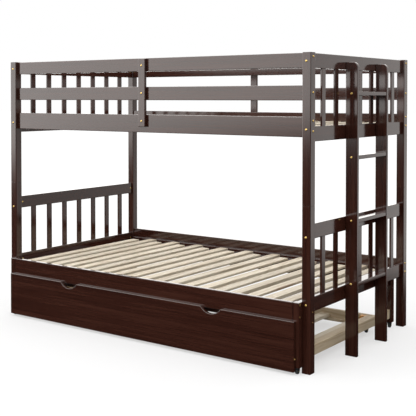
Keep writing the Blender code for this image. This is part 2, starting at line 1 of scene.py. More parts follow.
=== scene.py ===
"""Looks of the bunk bed: dark lacquered boards, bare pine slats, brass bolts and nylon casters.

Every board is rebuilt with rounded edges and its own grain in the space that its CAD node holds.
"""
import math

import bmesh
import bpy
from mathutils import Matrix, Vector

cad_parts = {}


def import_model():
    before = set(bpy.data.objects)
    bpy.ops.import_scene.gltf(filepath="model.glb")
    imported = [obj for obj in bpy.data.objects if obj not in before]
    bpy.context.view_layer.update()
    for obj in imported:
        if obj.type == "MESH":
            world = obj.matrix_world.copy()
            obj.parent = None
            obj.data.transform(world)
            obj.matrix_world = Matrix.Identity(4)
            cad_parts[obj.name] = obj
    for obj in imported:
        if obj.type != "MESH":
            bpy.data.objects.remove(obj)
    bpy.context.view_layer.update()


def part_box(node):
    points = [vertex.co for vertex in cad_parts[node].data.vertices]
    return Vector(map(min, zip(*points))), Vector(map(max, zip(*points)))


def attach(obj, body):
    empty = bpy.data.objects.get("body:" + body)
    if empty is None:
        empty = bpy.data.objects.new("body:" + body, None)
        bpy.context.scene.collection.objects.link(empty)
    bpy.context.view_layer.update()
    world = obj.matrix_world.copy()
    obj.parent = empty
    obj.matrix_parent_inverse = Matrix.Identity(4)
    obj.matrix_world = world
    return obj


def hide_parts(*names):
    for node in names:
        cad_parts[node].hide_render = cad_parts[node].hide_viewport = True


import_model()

# Sizes, metres
BOARD_EDGE = 0.0028
POST_EDGE = 0.0038
POST_END_EDGE = 0.0006
SLAT_EDGE = 0.0022
PANEL_SLAT_EDGE = 0.0018
FRONT_EDGE = 0.0024
EDGE_STEPS = 3
# Clearance between boards that rest on each other, and how far a glued board runs into its neighbour
SEAT_GAP = 0.0003
LET_IN = 0.0005
BOLT_RADIUS = 0.0054
BOLT_DOME = 0.0022
SCREW_RADIUS = 0.0036
SOCKET_RADIUS = 0.0024
SOCKET_DEEP = 0.0014
HEAD_SUNK = 0.0006
HEAD_RIM = 0.0002
DOME_STEPS = 6
ARC_STEPS = 24
ROUND_STEPS = 32
HEAD_SIDES = 24

END_SIGNS = (("left", -1), ("right", 1))
DEPTH_SIGNS = (("front", -1), ("rear", 1))


# Shader helpers

def new_material(name):
    """A node material, and its Principled shader."""
    material = bpy.data.materials.new(name)
    material.use_nodes = True
    return material, material.node_tree.nodes["Principled BSDF"]


def add_node(material, kind, links=(), **values):
    """A node of a material or world, with its settings and its links, each (input, output socket)."""
    node = material.node_tree.nodes.new(kind)
    for key, value in values.items():
        setattr(node, key, value)
    for socket, source in links:
        material.node_tree.links.new(source, node.inputs[socket])
    return node


def set_inputs(node, **values):
    """Constant values on a node's inputs, by their names with spaces as underscores."""
    for key, value in values.items():
        node.inputs[key.replace("_", " ")].default_value = value
    return node


def link(material, source, target):
    material.node_tree.links.new(source, target)


def maths(material, operation, *operands):
    """One Math node. Each operand is a socket or a number."""
    node = add_node(material, "ShaderNodeMath", operation=operation)
    for index, value in enumerate(operands):
        if isinstance(value, (int, float)):
            node.inputs[index].default_value = value
        else:
            link(material, value, node.inputs[index])
    return node.outputs[0]


def ramp(material, source, stops):
    """A colour ramp with (position, colour) stops."""
    node = add_node(material, "ShaderNodeValToRGB", [("Fac", source)])
    elements = node.color_ramp.elements
    while len(elements) < len(stops):
        elements.new(0.5)
    for element, (position, colour) in zip(elements, stops):
        element.position = position
        element.color = (*colour, 1.0)
    return node.outputs["Color"]


def grey(value):
    return (value, value, value)


def mixed(material, mode, factor, first, second):
    """A colour mix. Factor and colours are sockets or constants."""
    node = add_node(material, "ShaderNodeMix", data_type="RGBA", blend_type=mode)
    for index, value in ((0, factor), (6, first), (7, second)):
        if isinstance(value, (int, float)):
            node.inputs[index].default_value = value
        elif isinstance(value, tuple):
            node.inputs[index].default_value = (*value, 1.0)
        else:
            link(material, value, node.inputs[index])
    return node.outputs[2]


def weighted(material, first, share, second):
    """A mean of two sockets. The first has the given share of it."""
    parts = [maths(material, "MULTIPLY", first, share), maths(material, "MULTIPLY", second, 1.0 - share)]
    return maths(material, "ADD", *parts)


BOARD_SHIFT = (("X", 7.0), ("Y", 3.1), ("Z", 5.3))


def grain_place(material, stretch):
    """Coordinates that run slowly along a board's own X axis, moved by a different amount on each board."""
    place = add_node(material, "ShaderNodeTexCoord").outputs["Object"]
    board = add_node(material, "ShaderNodeObjectInfo").outputs["Random"]
    shifts = [(axis, maths(material, "MULTIPLY", board, reach)) for axis, reach in BOARD_SHIFT]
    shift = add_node(material, "ShaderNodeCombineXYZ", shifts)
    moved = add_node(material, "ShaderNodeVectorMath", [(0, place), (1, shift.outputs[0])], operation="ADD")
    mapping = add_node(material, "ShaderNodeMapping", [("Vector", moved.outputs[0])])
    mapping.inputs["Scale"].default_value = (1.0 / stretch, 1.0, 1.0)
    return mapping.outputs[0], board


def noise(material, place, scale, detail, rough=0.5, distortion=0.0):
    node = add_node(material, "ShaderNodeTexNoise", [("Vector", place)])
    set_inputs(node, Scale=scale, Detail=detail, Roughness=rough, Distortion=distortion)
    return node.outputs["Fac"]


def edge_mask(material, radius):
    """1 on worn edges, 0 on flat faces: how far a rounded normal leans from the true one."""
    soft = set_inputs(add_node(material, "ShaderNodeBevel", samples=4), Radius=radius)
    true = add_node(material, "ShaderNodeNewGeometry")
    lean = add_node(material, "ShaderNodeVectorMath", [(0, soft.outputs[0]), (1, true.outputs["Normal"])],
                    operation="DOT_PRODUCT")
    away = maths(material, "SUBTRACT", 1.0, lean.outputs["Value"])
    return maths(material, "MINIMUM", maths(material, "MULTIPLY", away, 6.0), 1.0)


def bumped(material, shader, height, strength, distance):
    node = add_node(material, "ShaderNodeBump", [("Height", height)])
    set_inputs(node, Strength=strength, Distance=distance)
    link(material, node.outputs[0], shader.inputs["Normal"])


def espresso_material():
    """Dark brown lacquer over fine straight grain, thinner and redder along the edges."""
    material, shader = new_material("espresso_lacquer")
    slow, board = grain_place(material, 22.0)
    quick, _ = grain_place(material, 60.0)
    figure = noise(material, slow, 30.0, 4.0, 0.6, 0.25)
    fibre = noise(material, quick, 520.0, 3.0, 0.65)
    streaks = noise(material, quick, 110.0, 4.0, 0.6)
    grain = weighted(material, figure, 0.5, streaks)
    line = weighted(material, grain, 0.75, fibre)
    wood = ramp(material, line, [(0.38, (0.0270, 0.0078, 0.0050)), (0.50, (0.0440, 0.0138, 0.0088)),
                                 (0.62, (0.0640, 0.0225, 0.0145))])
    tone = ramp(material, board, [(0.0, grey(0.93)), (1.0, grey(1.07))])
    toned = mixed(material, "MULTIPLY", 1.0, wood, tone)
    worn = maths(material, "MULTIPLY", edge_mask(material, 0.0016), maths(material, "MULTIPLY", fibre, 0.7))
    link(material, mixed(material, "MIX", worn, toned, (0.070, 0.024, 0.015)), shader.inputs["Base Color"])
    link(material, maths(material, "MULTIPLY_ADD", fibre, 0.07, 0.09), shader.inputs["Roughness"])
    set_inputs(shader, IOR=1.5, Coat_Weight=0.35, Coat_Roughness=0.08)
    bumped(material, shader, line, 0.07, 0.0003)
    return material


def pine_material(name, low, middle, high, shine):
    """Planed softwood: pale early wood, darker growth lines, a few knots and a slightly furry surface."""
    material, shader = new_material(name)
    slow, board = grain_place(material, 11.0)
    quick, _ = grain_place(material, 30.0)
    figure = noise(material, slow, 13.0, 3.0, 0.5, 0.8)
    rings = maths(material, "PINGPONG", maths(material, "MULTIPLY", figure, 11.0), 1.0)
    fibre = noise(material, quick, 500.0, 3.0, 0.6)
    knots = add_node(material, "ShaderNodeTexVoronoi", [("Vector", slow)])
    set_inputs(knots, Scale=7.0, Randomness=1.0)
    knot = ramp(material, knots.outputs["Distance"], [(0.035, grey(1.0)), (0.085, grey(0.0))])
    streak = weighted(material, rings, 0.6, fibre)
    wood = ramp(material, streak, [(0.15, high), (0.55, middle), (0.95, low)])
    tone = ramp(material, board, [(0.0, grey(0.88)), (1.0, grey(1.06))])
    toned = mixed(material, "MULTIPLY", 1.0, wood, tone)
    knotted = mixed(material, "MIX", maths(material, "MULTIPLY", knot, 0.55), toned, (0.20, 0.085, 0.03))
    worn = maths(material, "MULTIPLY", edge_mask(material, 0.002), 0.35)
    link(material, mixed(material, "MIX", worn, knotted, high), shader.inputs["Base Color"])
    link(material, maths(material, "MULTIPLY_ADD", fibre, 0.16, shine), shader.inputs["Roughness"])
    bumped(material, shader, streak, 0.25, 0.0005)
    return material


def brass_material(name, dark, light):
    """Yellow-plated bolt heads with a little brushing and dull edges."""
    material, shader = new_material(name)
    place = add_node(material, "ShaderNodeTexCoord").outputs["Object"]
    speck = noise(material, place, 900.0, 3.0)
    colour = ramp(material, speck, [(0.3, dark), (0.7, light)])
    link(material, colour, shader.inputs["Base Color"])
    rough = ramp(material, speck, [(0.3, grey(0.22)), (0.7, grey(0.42))])
    link(material, rough, shader.inputs["Roughness"])
    set_inputs(shader, Metallic=1.0)
    bumped(material, shader, speck, 0.15, 0.0002)
    return material


def nylon_material(name, dark, light, low, high):
    """Moulded plastic with a fine rough texture."""
    material, shader = new_material(name)
    place = add_node(material, "ShaderNodeTexCoord").outputs["Object"]
    fine = noise(material, place, 2600.0, 2.0)
    broad = noise(material, place, 90.0, 3.0)
    link(material, ramp(material, broad, [(0.3, dark), (0.7, light)]), shader.inputs["Base Color"])
    link(material, ramp(material, fine, [(0.3, grey(low)), (0.7, grey(high))]), shader.inputs["Roughness"])
    bumped(material, shader, fine, 0.25, 0.0002)
    return material


def webbing_material():
    """Woven cotton tape."""
    material, shader = new_material("cotton_webbing")
    place = add_node(material, "ShaderNodeTexCoord").outputs["Object"]
    warp = add_node(material, "ShaderNodeTexWave", [("Vector", place)], bands_direction="X")
    weft = add_node(material, "ShaderNodeTexWave", [("Vector", place)], bands_direction="Y")
    set_inputs(warp, Scale=160.0, Distortion=0.6)
    set_inputs(weft, Scale=210.0, Distortion=0.6)
    weave = maths(material, "MULTIPLY", warp.outputs["Fac"], weft.outputs["Fac"])
    link(material, ramp(material, weave, [(0.1, (0.34, 0.29, 0.21)), (0.8, (0.66, 0.60, 0.49))]),
         shader.inputs["Base Color"])
    rough = ramp(material, weave, [(0.1, grey(0.95)), (0.8, grey(0.75))])
    link(material, rough, shader.inputs["Roughness"])
    bumped(material, shader, weave, 0.5, 0.0004)
    return material


ESPRESSO = espresso_material()
PINE = pine_material("pine_slat_wood", (0.47, 0.375, 0.265), (0.61, 0.53, 0.405),
                     (0.70, 0.625, 0.50), 0.50)
PINE_RAIL = pine_material("pine_rail_wood", (0.38, 0.275, 0.165), (0.52, 0.405, 0.265),
                          (0.61, 0.50, 0.35), 0.50)
BLOCK = pine_material("corner_block_wood", (0.50, 0.20, 0.04), (0.68, 0.31, 0.07),
                      (0.76, 0.42, 0.13), 0.45)
BRASS = brass_material("brass_plate", (0.62, 0.42, 0.12), (0.90, 0.68, 0.27))
# A darker copy of the brass: painted shade for bolt heads that sit on dim side faces
SHADED_BRASS = brass_material("shaded_brass_plate", (0.13, 0.075, 0.03), (0.24, 0.14, 0.055))
NYLON = nylon_material("black_caster_nylon", (0.010, 0.010, 0.011), (0.022, 0.022, 0.023), 0.38, 0.55)
TREAD = nylon_material("grey_wheel_tread", (0.030, 0.030, 0.031), (0.055, 0.055, 0.056), 0.55, 0.75)
WEBBING = webbing_material()


# Shape helpers

def finished(name, shape, material, body, place=None):
    """A shape as an object that rides on a body. Its origin and turn are those of place."""
    mesh = bpy.data.meshes.new(name)
    bmesh.ops.recalc_face_normals(shape, faces=shape.faces)
    shape.to_mesh(mesh)
    shape.free()
    mesh.shade_smooth()
    mesh.set_sharp_from_angle(angle=math.radians(40))
    mesh.materials.append(material)
    thing = bpy.data.objects.new(name, mesh)
    bpy.context.scene.collection.objects.link(thing)
    if place is not None:
        thing.matrix_world = place
    flat = thing.modifiers.new("flat_faces", "WEIGHTED_NORMAL")
    flat.mode = "FACE_AREA"
    flat.weight = 100
    flat.keep_sharp = True
    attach(thing, body)
    return thing


def round_edges(shape, radius, steps=EDGE_STEPS):
    sharp = [e for e in shape.edges if e.is_convex and e.calc_face_angle(0.0) > math.radians(30)]
    bmesh.ops.bevel(shape, geom=sharp, offset=radius, segments=steps, profile=0.5, affect="EDGES",
                    clamp_overlap=True)


GRAIN_TURN = {
    "X": Matrix.Identity(3),
    "Y": Matrix(((0, -1, 0), (1, 0, 0), (0, 0, 1))),
    "Z": Matrix(((0, 0, -1), (0, 1, 0), (1, 0, 0))),
}


def board(name, low, high, grain, material, body, edge=BOARD_EDGE, end_edge=None):
    """A planed board between two corners. Its own X axis lies along its grain.

    With an end_edge, the ends have that rounding and only the long edges have the other.
    """
    low, high = Vector(low), Vector(high)
    turn = GRAIN_TURN[grain]
    size = turn.transposed() @ (high - low)
    shape = bmesh.new()
    bmesh.ops.create_cube(shape, size=1.0, matrix=Matrix.Diagonal((*[abs(s) for s in size], 1.0)))
    if end_edge is None:
        round_edges(shape, edge)
    else:
        long = [e for e in shape.edges if abs((e.verts[0].co - e.verts[1].co).x) > edge]
        bmesh.ops.bevel(shape, geom=long, offset=edge, segments=EDGE_STEPS + 1, profile=0.5,
                        affect="EDGES")
        round_edges(shape, end_edge, 2)
    return finished(name, shape, material, body, Matrix.Translation((low + high) / 2) @ turn.to_4x4())


def node_board(node, grain, material, body, edge=BOARD_EDGE):
    """A board in place of one CAD node that is a plain board itself."""
    low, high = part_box(node)
    made = board(node + "_board", low, high, grain, material, body, edge)
    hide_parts(node)
    return made


def profile_board(name, outline, across, low, high, grain, edge, body, material=ESPRESSO):
    """A flat outline across X (y, z) or Y (x, z), drawn from low to high.

    Its own X axis lies along its grain.
    """
    turn = GRAIN_TURN[grain]
    back = turn.transposed()
    points = [Vector((low, a, b)) if across == "X" else Vector((a, low, b)) for a, b in outline]
    way = Vector((high - low, 0, 0)) if across == "X" else Vector((0, high - low, 0))
    middle = sum(points, Vector()) / len(points) + way / 2
    shape = bmesh.new()
    face = shape.faces.new([shape.verts.new(back @ (p - middle)) for p in points])
    drawn = bmesh.ops.extrude_face_region(shape, geom=[face])
    moved = [g for g in drawn["geom"] if isinstance(g, bmesh.types.BMVert)]
    bmesh.ops.translate(shape, verts=moved, vec=back @ way)
    bmesh.ops.recalc_face_normals(shape, faces=shape.faces)
    round_edges(shape, edge)
    return finished(name, shape, material, body, Matrix.Translation(middle) @ turn.to_4x4())


def arc(centre, radius, start, end, steps=ARC_STEPS):
    turns = [start + (end - start) * i / steps for i in range(steps + 1)]
    return [(centre[0] + radius * math.cos(t), centre[1] + radius * math.sin(t)) for t in turns]


def lathe(shape, profile, sides, place):
    """Turns a profile of (radius, height) about Z. A radius of 0 closes it at a point."""
    rings = []
    for radius, height in profile:
        if radius == 0:
            rings.append([shape.verts.new(place @ Vector((0, 0, height)))])
            continue
        rings.append([shape.verts.new(place @ Vector((radius * math.cos(2 * math.pi * i / sides),
                                                      radius * math.sin(2 * math.pi * i / sides), height)))
                      for i in range(sides)])
    for first, second in zip(rings, rings[1:]):
        for i in range(sides):
            j = (i + 1) % sides
            corners = [first[i % len(first)], first[j % len(first)]]
            corners += [second[j % len(second)], second[i % len(second)]]
            corners = list(dict.fromkeys(corners))
            if len(corners) > 2:
                shape.faces.new(corners)
    return shape


def towards(spot, way):
    """A frame at spot whose Z axis points along way."""
    turn = Vector((0, 0, 1)).rotation_difference(Vector(way)).to_matrix().to_4x4()
    return Matrix.Translation(spot) @ turn


def bolt_head(shape, spot, way, radius=BOLT_RADIUS, dome=BOLT_DOME):
    """A low domed head with a hexagon socket."""
    place = towards(spot, way)
    profile = [(radius, -HEAD_SUNK), (radius, HEAD_RIM)]
    for i in range(1, DOME_STEPS):
        turn = i / DOME_STEPS * math.pi / 2
        out = SOCKET_RADIUS + (radius - SOCKET_RADIUS) * math.cos(turn)
        profile.append((out, HEAD_RIM + dome * math.sin(turn)))
    profile.append((SOCKET_RADIUS, dome + HEAD_RIM))
    lathe(shape, profile, HEAD_SIDES, place)
    floor = dome - SOCKET_DEEP
    socket = [(SOCKET_RADIUS, dome + HEAD_RIM), (SOCKET_RADIUS * 0.96, floor), (0, floor)]
    lathe(shape, socket, 6, place)


def bolts(name, spots, body, radius=BOLT_RADIUS, material=BRASS):
    """A set of bolt heads, each given as (spot, outward way)."""
    shape = bmesh.new()
    for spot, way in spots:
        bolt_head(shape, spot, way, radius)
    return finished(name, shape, material, body)


# Bed frame

BED, PULLOUT, TRUNDLE = "bed_frame", "pullout_bed", "trundle_base"


def posts():
    for across, _ in DEPTH_SIGNS:
        for along, _ in END_SIGNS:
            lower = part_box(f"lower_post_{across}_{along}")
            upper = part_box(f"upper_post_{across}_{along}")
            foot = Vector((upper[0].x, upper[0].y, lower[1].z + SEAT_GAP))
            for level, low, high in (("lower", *lower), ("upper", foot, upper[1])):
                node = f"{level}_post_{across}_{along}"
                made = board(node + "_board", low, high, "Z", ESPRESSO, BED, POST_EDGE, POST_END_EDGE)
                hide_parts(node)


PANEL_RAIL_HIGH = 0.070
PANEL_SLAT_WIDE = 0.036
PANEL_SLAT_THICK = 0.010
PANEL_SLAT_SETBACK = 0.003
PANEL_SLATS = 7
PANEL_TENON = 0.004


def end_panels():
    """Each end panel: a top and a bottom rail with upright slats let into them."""
    for level in ("lower", "upper"):
        for along, end in END_SIGNS:
            node = f"{level}_end_panel_{along}"
            low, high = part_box(node)
            rails = {"bottom": (low.z, low.z + PANEL_RAIL_HIGH), "top": (high.z - PANEL_RAIL_HIGH, high.z)}
            for name, (under, over) in rails.items():
                made = board(f"{node}_{name}_rail", (low.x, low.y, under), (high.x, high.y, over), "Y",
                             ESPRESSO, BED)
            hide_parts(node)
            outer = (high.x if end > 0 else low.x) - end * PANEL_SLAT_SETBACK
            xs = sorted((outer, outer - end * PANEL_SLAT_THICK))
            space = (high.y - low.y - PANEL_SLATS * PANEL_SLAT_WIDE) / (PANEL_SLATS + 1)
            for i in range(PANEL_SLATS):
                y = low.y + space + i * (space + PANEL_SLAT_WIDE)
                board(f"{node}_slat_{i + 1}", (xs[0], y, rails["bottom"][1] - PANEL_TENON),
                      (xs[1], y + PANEL_SLAT_WIDE, rails["top"][0] + PANEL_TENON), "Z", ESPRESSO, BED,
                      PANEL_SLAT_EDGE)


def guard_rails():
    for across, _ in DEPTH_SIGNS:
        node_board(f"guard_top_rail_{across}", "X", ESPRESSO, BED)
        node_board(f"guard_mid_rail_{across}", "X", ESPRESSO, BED)
        node_board(f"guard_upright_{across}", "Z", ESPRESSO, BED)


RAIL_THICK = 0.020
LEDGE_HIGH = 0.024
UPPER_SLATS = 13
FIXED_SLATS = 9
PULLOUT_SLATS = 10
TRUNDLE_SLATS = 9


def upper_bunk():
    """Side rails with their ledges, and the slats with the tape along their ends."""
    slat_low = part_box("upper_slat_roll")[0].z
    for across, side in DEPTH_SIGNS:
        node = f"upper_side_rail_{across}"
        low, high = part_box(node)
        ys = sorted((high.y, high.y - RAIL_THICK) if side > 0 else (low.y, low.y + RAIL_THICK))
        rail = board(f"{node}_board", (low.x, ys[0], low.z), (high.x, ys[1], high.z), "X", ESPRESSO, BED)
        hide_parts(node)
        inner = (low.y, ys[0] + LET_IN) if side > 0 else (ys[1] - LET_IN, high.y)
        board(f"{node}_ledge", (low.x, inner[0], slat_low - LEDGE_HIGH),
              (high.x, inner[1], slat_low - SEAT_GAP), "X", ESPRESSO, BED)
    slat_set("upper_slat_roll", UPPER_SLATS, PINE, BED)


SLAT_WIDE = 0.056
TAPE_WIDE = 0.015
TAPE_THICK = 0.0016
TAPE_INSET = 0.0105
TAPE_RAISED = 0.0012
TAPE_WAVE = 0.0004
TAPE_STEPS = 8


def slat_set(node, count, material, body, rear_of=None):
    """The evenly spaced slats of one CAD set, and the webbing tape that joins their front ends."""
    low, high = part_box(node)
    pitch = (high.x - low.x - SLAT_WIDE) / (count - 1)
    for i in range(count):
        x = low.x + i * pitch
        rear = rear_of(i) if rear_of else high.y
        made = board(f"{node}_{i + 1:02d}", (x, low.y, low.z), (x + SLAT_WIDE, rear, high.z), "Y",
                     material, body, SLAT_EDGE)
        if i == 0:
            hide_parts(node)
    tape = bmesh.new()
    steps = (count - 1) * TAPE_STEPS
    half = TAPE_WIDE / 2
    middle = low.y + TAPE_INSET
    section = ((-half, 0), (half, 0), (half, TAPE_THICK), (-half, TAPE_THICK))
    rows = []
    for i in range(steps + 1):
        x = low.x + SLAT_WIDE / 2 + pitch * (count - 1) * i / steps
        wave = TAPE_WAVE * (1 - math.cos(2 * math.pi * i / TAPE_STEPS))
        z = low.z + TAPE_RAISED + wave
        rows.append([tape.verts.new((x, middle + y, z + h)) for y, h in section])
    for first, second in zip(rows, rows[1:]):
        for j in range(4):
            k = (j + 1) % 4
            tape.faces.new((first[j], first[k], second[k], second[j]))
    tape.faces.new(rows[0])
    tape.faces.new(list(reversed(rows[-1])))
    finished(f"{node}_tape", tape, WEBBING, body)


LIP_WIDE = 0.0195
SLAT_TOP = 0.322


def lower_bunk():
    """The rear rail with its lip and the seat under the slats, the front beam and the fixed slats."""
    node = "lower_rear_rail"
    low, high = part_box(node)
    seat_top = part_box("fixed_slat_set")[0].z - SEAT_GAP
    rail_front = high.y - RAIL_THICK
    lip_front = rail_front - LIP_WIDE
    rail = board(f"{node}_board", (low.x, rail_front, low.z), high, "X", ESPRESSO, BED)
    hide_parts(node)
    board(f"{node}_lip", (low.x, lip_front, low.z), (high.x, rail_front + LET_IN, SLAT_TOP), "X",
          ESPRESSO, BED)
    board(f"{node}_seat", (low.x, low.y, low.z), (high.x, lip_front + LET_IN, seat_top), "X",
          ESPRESSO, BED)
    node_board("lower_front_beam", "X", ESPRESSO, BED)
    slat_set("fixed_slat_set", FIXED_SLATS, PINE, BED)


STILE_CORNER = 0.026
STILE_ARC_STEPS = 12
LADDER_TREADS = 4


def ladder():
    for across, _ in DEPTH_SIGNS:
        node = f"ladder_stile_{across}"
        low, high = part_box(node)
        corner = (high.x - STILE_CORNER, high.z - STILE_CORNER)
        outline = [(low.x, low.z), (high.x, low.z)]
        outline += arc(corner, STILE_CORNER, 0, math.pi / 2, STILE_ARC_STEPS)
        outline.append((low.x, high.z))
        made = profile_board(f"{node}_board", outline, "Y", low.y, high.y, "Z", BOARD_EDGE, BED)
        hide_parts(node)
    for i in range(LADDER_TREADS):
        node_board(f"ladder_tread_{i + 1}", "Y", ESPRESSO, BED)


# Casters

PLATE_THICK = 0.003
PLATE_CORNER = 0.004
PLATE_EDGE = 0.0006
CHEEK_GAP = 0.0006
CHEEK_THICK = 0.0018
CHEEK_ROUND = 0.0065
CHEEK_HALF_TOP = 0.0104
CHEEK_BELOW_TOP = 0.002
CHEEK_EDGE = 0.0005
RIVET_PROFILE = ((0.003, -0.0004), (0.003, 0.0004), (0.0021, 0.00085), (0, 0.0009))
BORE_RADIUS = 0.0034
HUB_RADIUS = 0.006
HUB_PROUD = 0.0008
GROOVE_DEEP = 0.0006
TYRE_ROUND = 0.0018


def wheel_profile(radius, half_wheel):
    """A wheel's section about its bore: a proud hub, a groove in each face and a rounded tyre."""
    half = half_wheel - HUB_PROUD
    groove = -half + GROOVE_DEEP
    side = [(BORE_RADIUS, -half_wheel), (HUB_RADIUS, -half_wheel), (0.0066, -half), (0.0088, groove),
            (0.0106, groove), (0.0112, -half), (radius - 0.0016, -half), (radius - 0.0005, -half + 0.0005),
            (radius, -half + TYRE_ROUND)]
    return side + [(out, -along) for out, along in reversed(side)] + side[:1]


def caster(label, body):
    """A caster in place of a CAD fork and wheel: rounded plate, two cheeks, riveted axle, grooved wheel."""
    fork_node = label.format("fork")
    wheel_node = label.format("wheel")
    low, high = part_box(fork_node)
    wheel_low, wheel_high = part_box(wheel_node)
    middle = (wheel_low + wheel_high) / 2
    radius = (wheel_high.z - wheel_low.z) / 2
    half_wheel = (wheel_high.x - wheel_low.x) / 2
    plate = bmesh.new()
    size = Matrix.Diagonal((high.x - low.x, high.y - low.y, PLATE_THICK, 1.0))
    bmesh.ops.create_cube(plate, size=1.0, matrix=size)
    upright = [e for e in plate.edges if abs((e.verts[0].co - e.verts[1].co).z) > PLATE_THICK / 2]
    bmesh.ops.bevel(plate, geom=upright, offset=PLATE_CORNER, segments=5, profile=0.5, affect="EDGES")
    round_edges(plate, PLATE_EDGE, 2)
    centre = ((low.x + high.x) / 2, (low.y + high.y) / 2, high.z - PLATE_THICK / 2)
    bmesh.ops.translate(plate, verts=plate.verts, vec=centre)
    made = finished(f"{fork_node}_plate", plate, NYLON, body)
    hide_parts(fork_node)
    top = high.z - CHEEK_BELOW_TOP
    outline = arc((middle.y, middle.z), CHEEK_ROUND, -math.pi, 0, 14)
    outline += [(middle.y + CHEEK_HALF_TOP, top), (middle.y - CHEEK_HALF_TOP, top)]
    for name, side in (("inner", -1), ("outer", 1)):
        near = middle.x + side * (half_wheel + CHEEK_GAP)
        xs = sorted((near, near + side * CHEEK_THICK))
        profile_board(f"{fork_node}_cheek_{name}", outline, "X", *xs, "X", CHEEK_EDGE, body, NYLON)
    rivets = bmesh.new()
    for side in (-1, 1):
        spot = (middle.x + side * (half_wheel + CHEEK_GAP + CHEEK_THICK), middle.y, middle.z)
        lathe(rivets, RIVET_PROFILE, 20, towards(spot, (side, 0, 0)))
    finished(f"{fork_node}_rivets", rivets, BRASS, body)
    wheel = bmesh.new()
    lathe(wheel, wheel_profile(radius, half_wheel), ROUND_STEPS, towards((0, 0, 0), (1, 0, 0)))
    bmesh.ops.remove_doubles(wheel, verts=wheel.verts, dist=0.00001)
    made = finished(f"{wheel_node}_tyre", wheel, TREAD, wheel_node, Matrix.Translation(middle))
    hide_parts(wheel_node)


# Pull-out bed

PULLOUT_RAIL_THICK = 0.018
LAND_HIGH = 0.0087
LAND_EDGE = 0.0015


def pullout():
    """The rails, legs, casters, stretchers and slats that roll out of the lower bunk."""
    node = "pullout_front_rail"
    low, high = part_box(node)
    seat_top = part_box("pullout_slat_set")[0].z - SEAT_GAP
    rail_back = low.y + PULLOUT_RAIL_THICK
    rail = board(f"{node}_board", low, (high.x, rail_back, high.z), "X", ESPRESSO, PULLOUT)
    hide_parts(node)
    board(f"{node}_ledge", (low.x, rail_back - LET_IN, seat_top - LEDGE_HIGH), (high.x, high.y, seat_top),
          "X", ESPRESSO, PULLOUT)
    rear_rail()
    for along, _ in END_SIGNS:
        for across, _ in DEPTH_SIGNS:
            node_board(f"pullout_leg_{across}_{along}", "Z", ESPRESSO, PULLOUT)
            caster(f"pullout_caster_{{}}_{across}_{along}", PULLOUT)
        node_board(f"pullout_stretcher_{along}", "Y", PINE_RAIL, PULLOUT, SLAT_EDGE)
    slat_set("pullout_slat_set", PULLOUT_SLATS, PINE, PULLOUT)


def rear_rail():
    """The rear rail, with a land under each pull-out slat."""
    node = "pullout_rear_rail"
    low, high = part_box(node)
    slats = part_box("pullout_slat_set")
    top = high.z - LAND_HIGH
    pitch = (slats[1].x - slats[0].x - SLAT_WIDE) / (PULLOUT_SLATS - 1)
    outline = [(low.x, top), (low.x, low.z), (high.x, low.z), (high.x, top)]
    for i in reversed(range(PULLOUT_SLATS)):
        x = slats[0].x + i * pitch
        outline += [(x + SLAT_WIDE, top), (x + SLAT_WIDE, high.z), (x, high.z), (x, top)]
    made = profile_board(f"{node}_board", outline, "Y", low.y, high.y, "X", LAND_EDGE, PULLOUT)
    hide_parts(node)


# Trundle base

PULL_X = 0.484
PULL_WIDE = 0.120
PULL_DEEP = 0.030
TRUNDLE_PANEL_THICK = 0.018
BATTEN_HIGH = 0.017


def trundle_panel():
    """The front panel with its two scooped finger pulls, and the batten on its back."""
    node = "trundle_front_panel"
    low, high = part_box(node)
    seat_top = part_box("trundle_slat_set")[0].z - SEAT_GAP
    middle = (low.x + high.x) / 2
    radius = (PULL_WIDE ** 2 / 4 + PULL_DEEP ** 2) / (2 * PULL_DEEP)
    spread = math.asin(PULL_WIDE / 2 / radius)
    outline = [(low.x, low.z), (high.x, low.z), (high.x, high.z)]
    for x in (middle + PULL_X, middle - PULL_X):
        centre = (x, high.z - PULL_DEEP + radius)
        outline += arc(centre, radius, -math.pi / 2 + spread, -math.pi / 2 - spread)
    outline.append((low.x, high.z))
    back = low.y + TRUNDLE_PANEL_THICK
    made = profile_board(f"{node}_board", outline, "Y", low.y, back, "X", FRONT_EDGE, TRUNDLE)
    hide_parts(node)
    ends = (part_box("trundle_end_rail_left")[1].x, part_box("trundle_end_rail_right")[0].x)
    board(f"{node}_batten", (ends[0], back - LET_IN, seat_top - BATTEN_HIGH), (ends[1], high.y, seat_top),
          "X", PINE_RAIL, TRUNDLE, SLAT_EDGE)


CORNER_BLOCK = 0.030
BLOCK_RAISED = 0.012
END_RAIL_THICK = 0.037
BACK_RAIL_THICK = 0.020


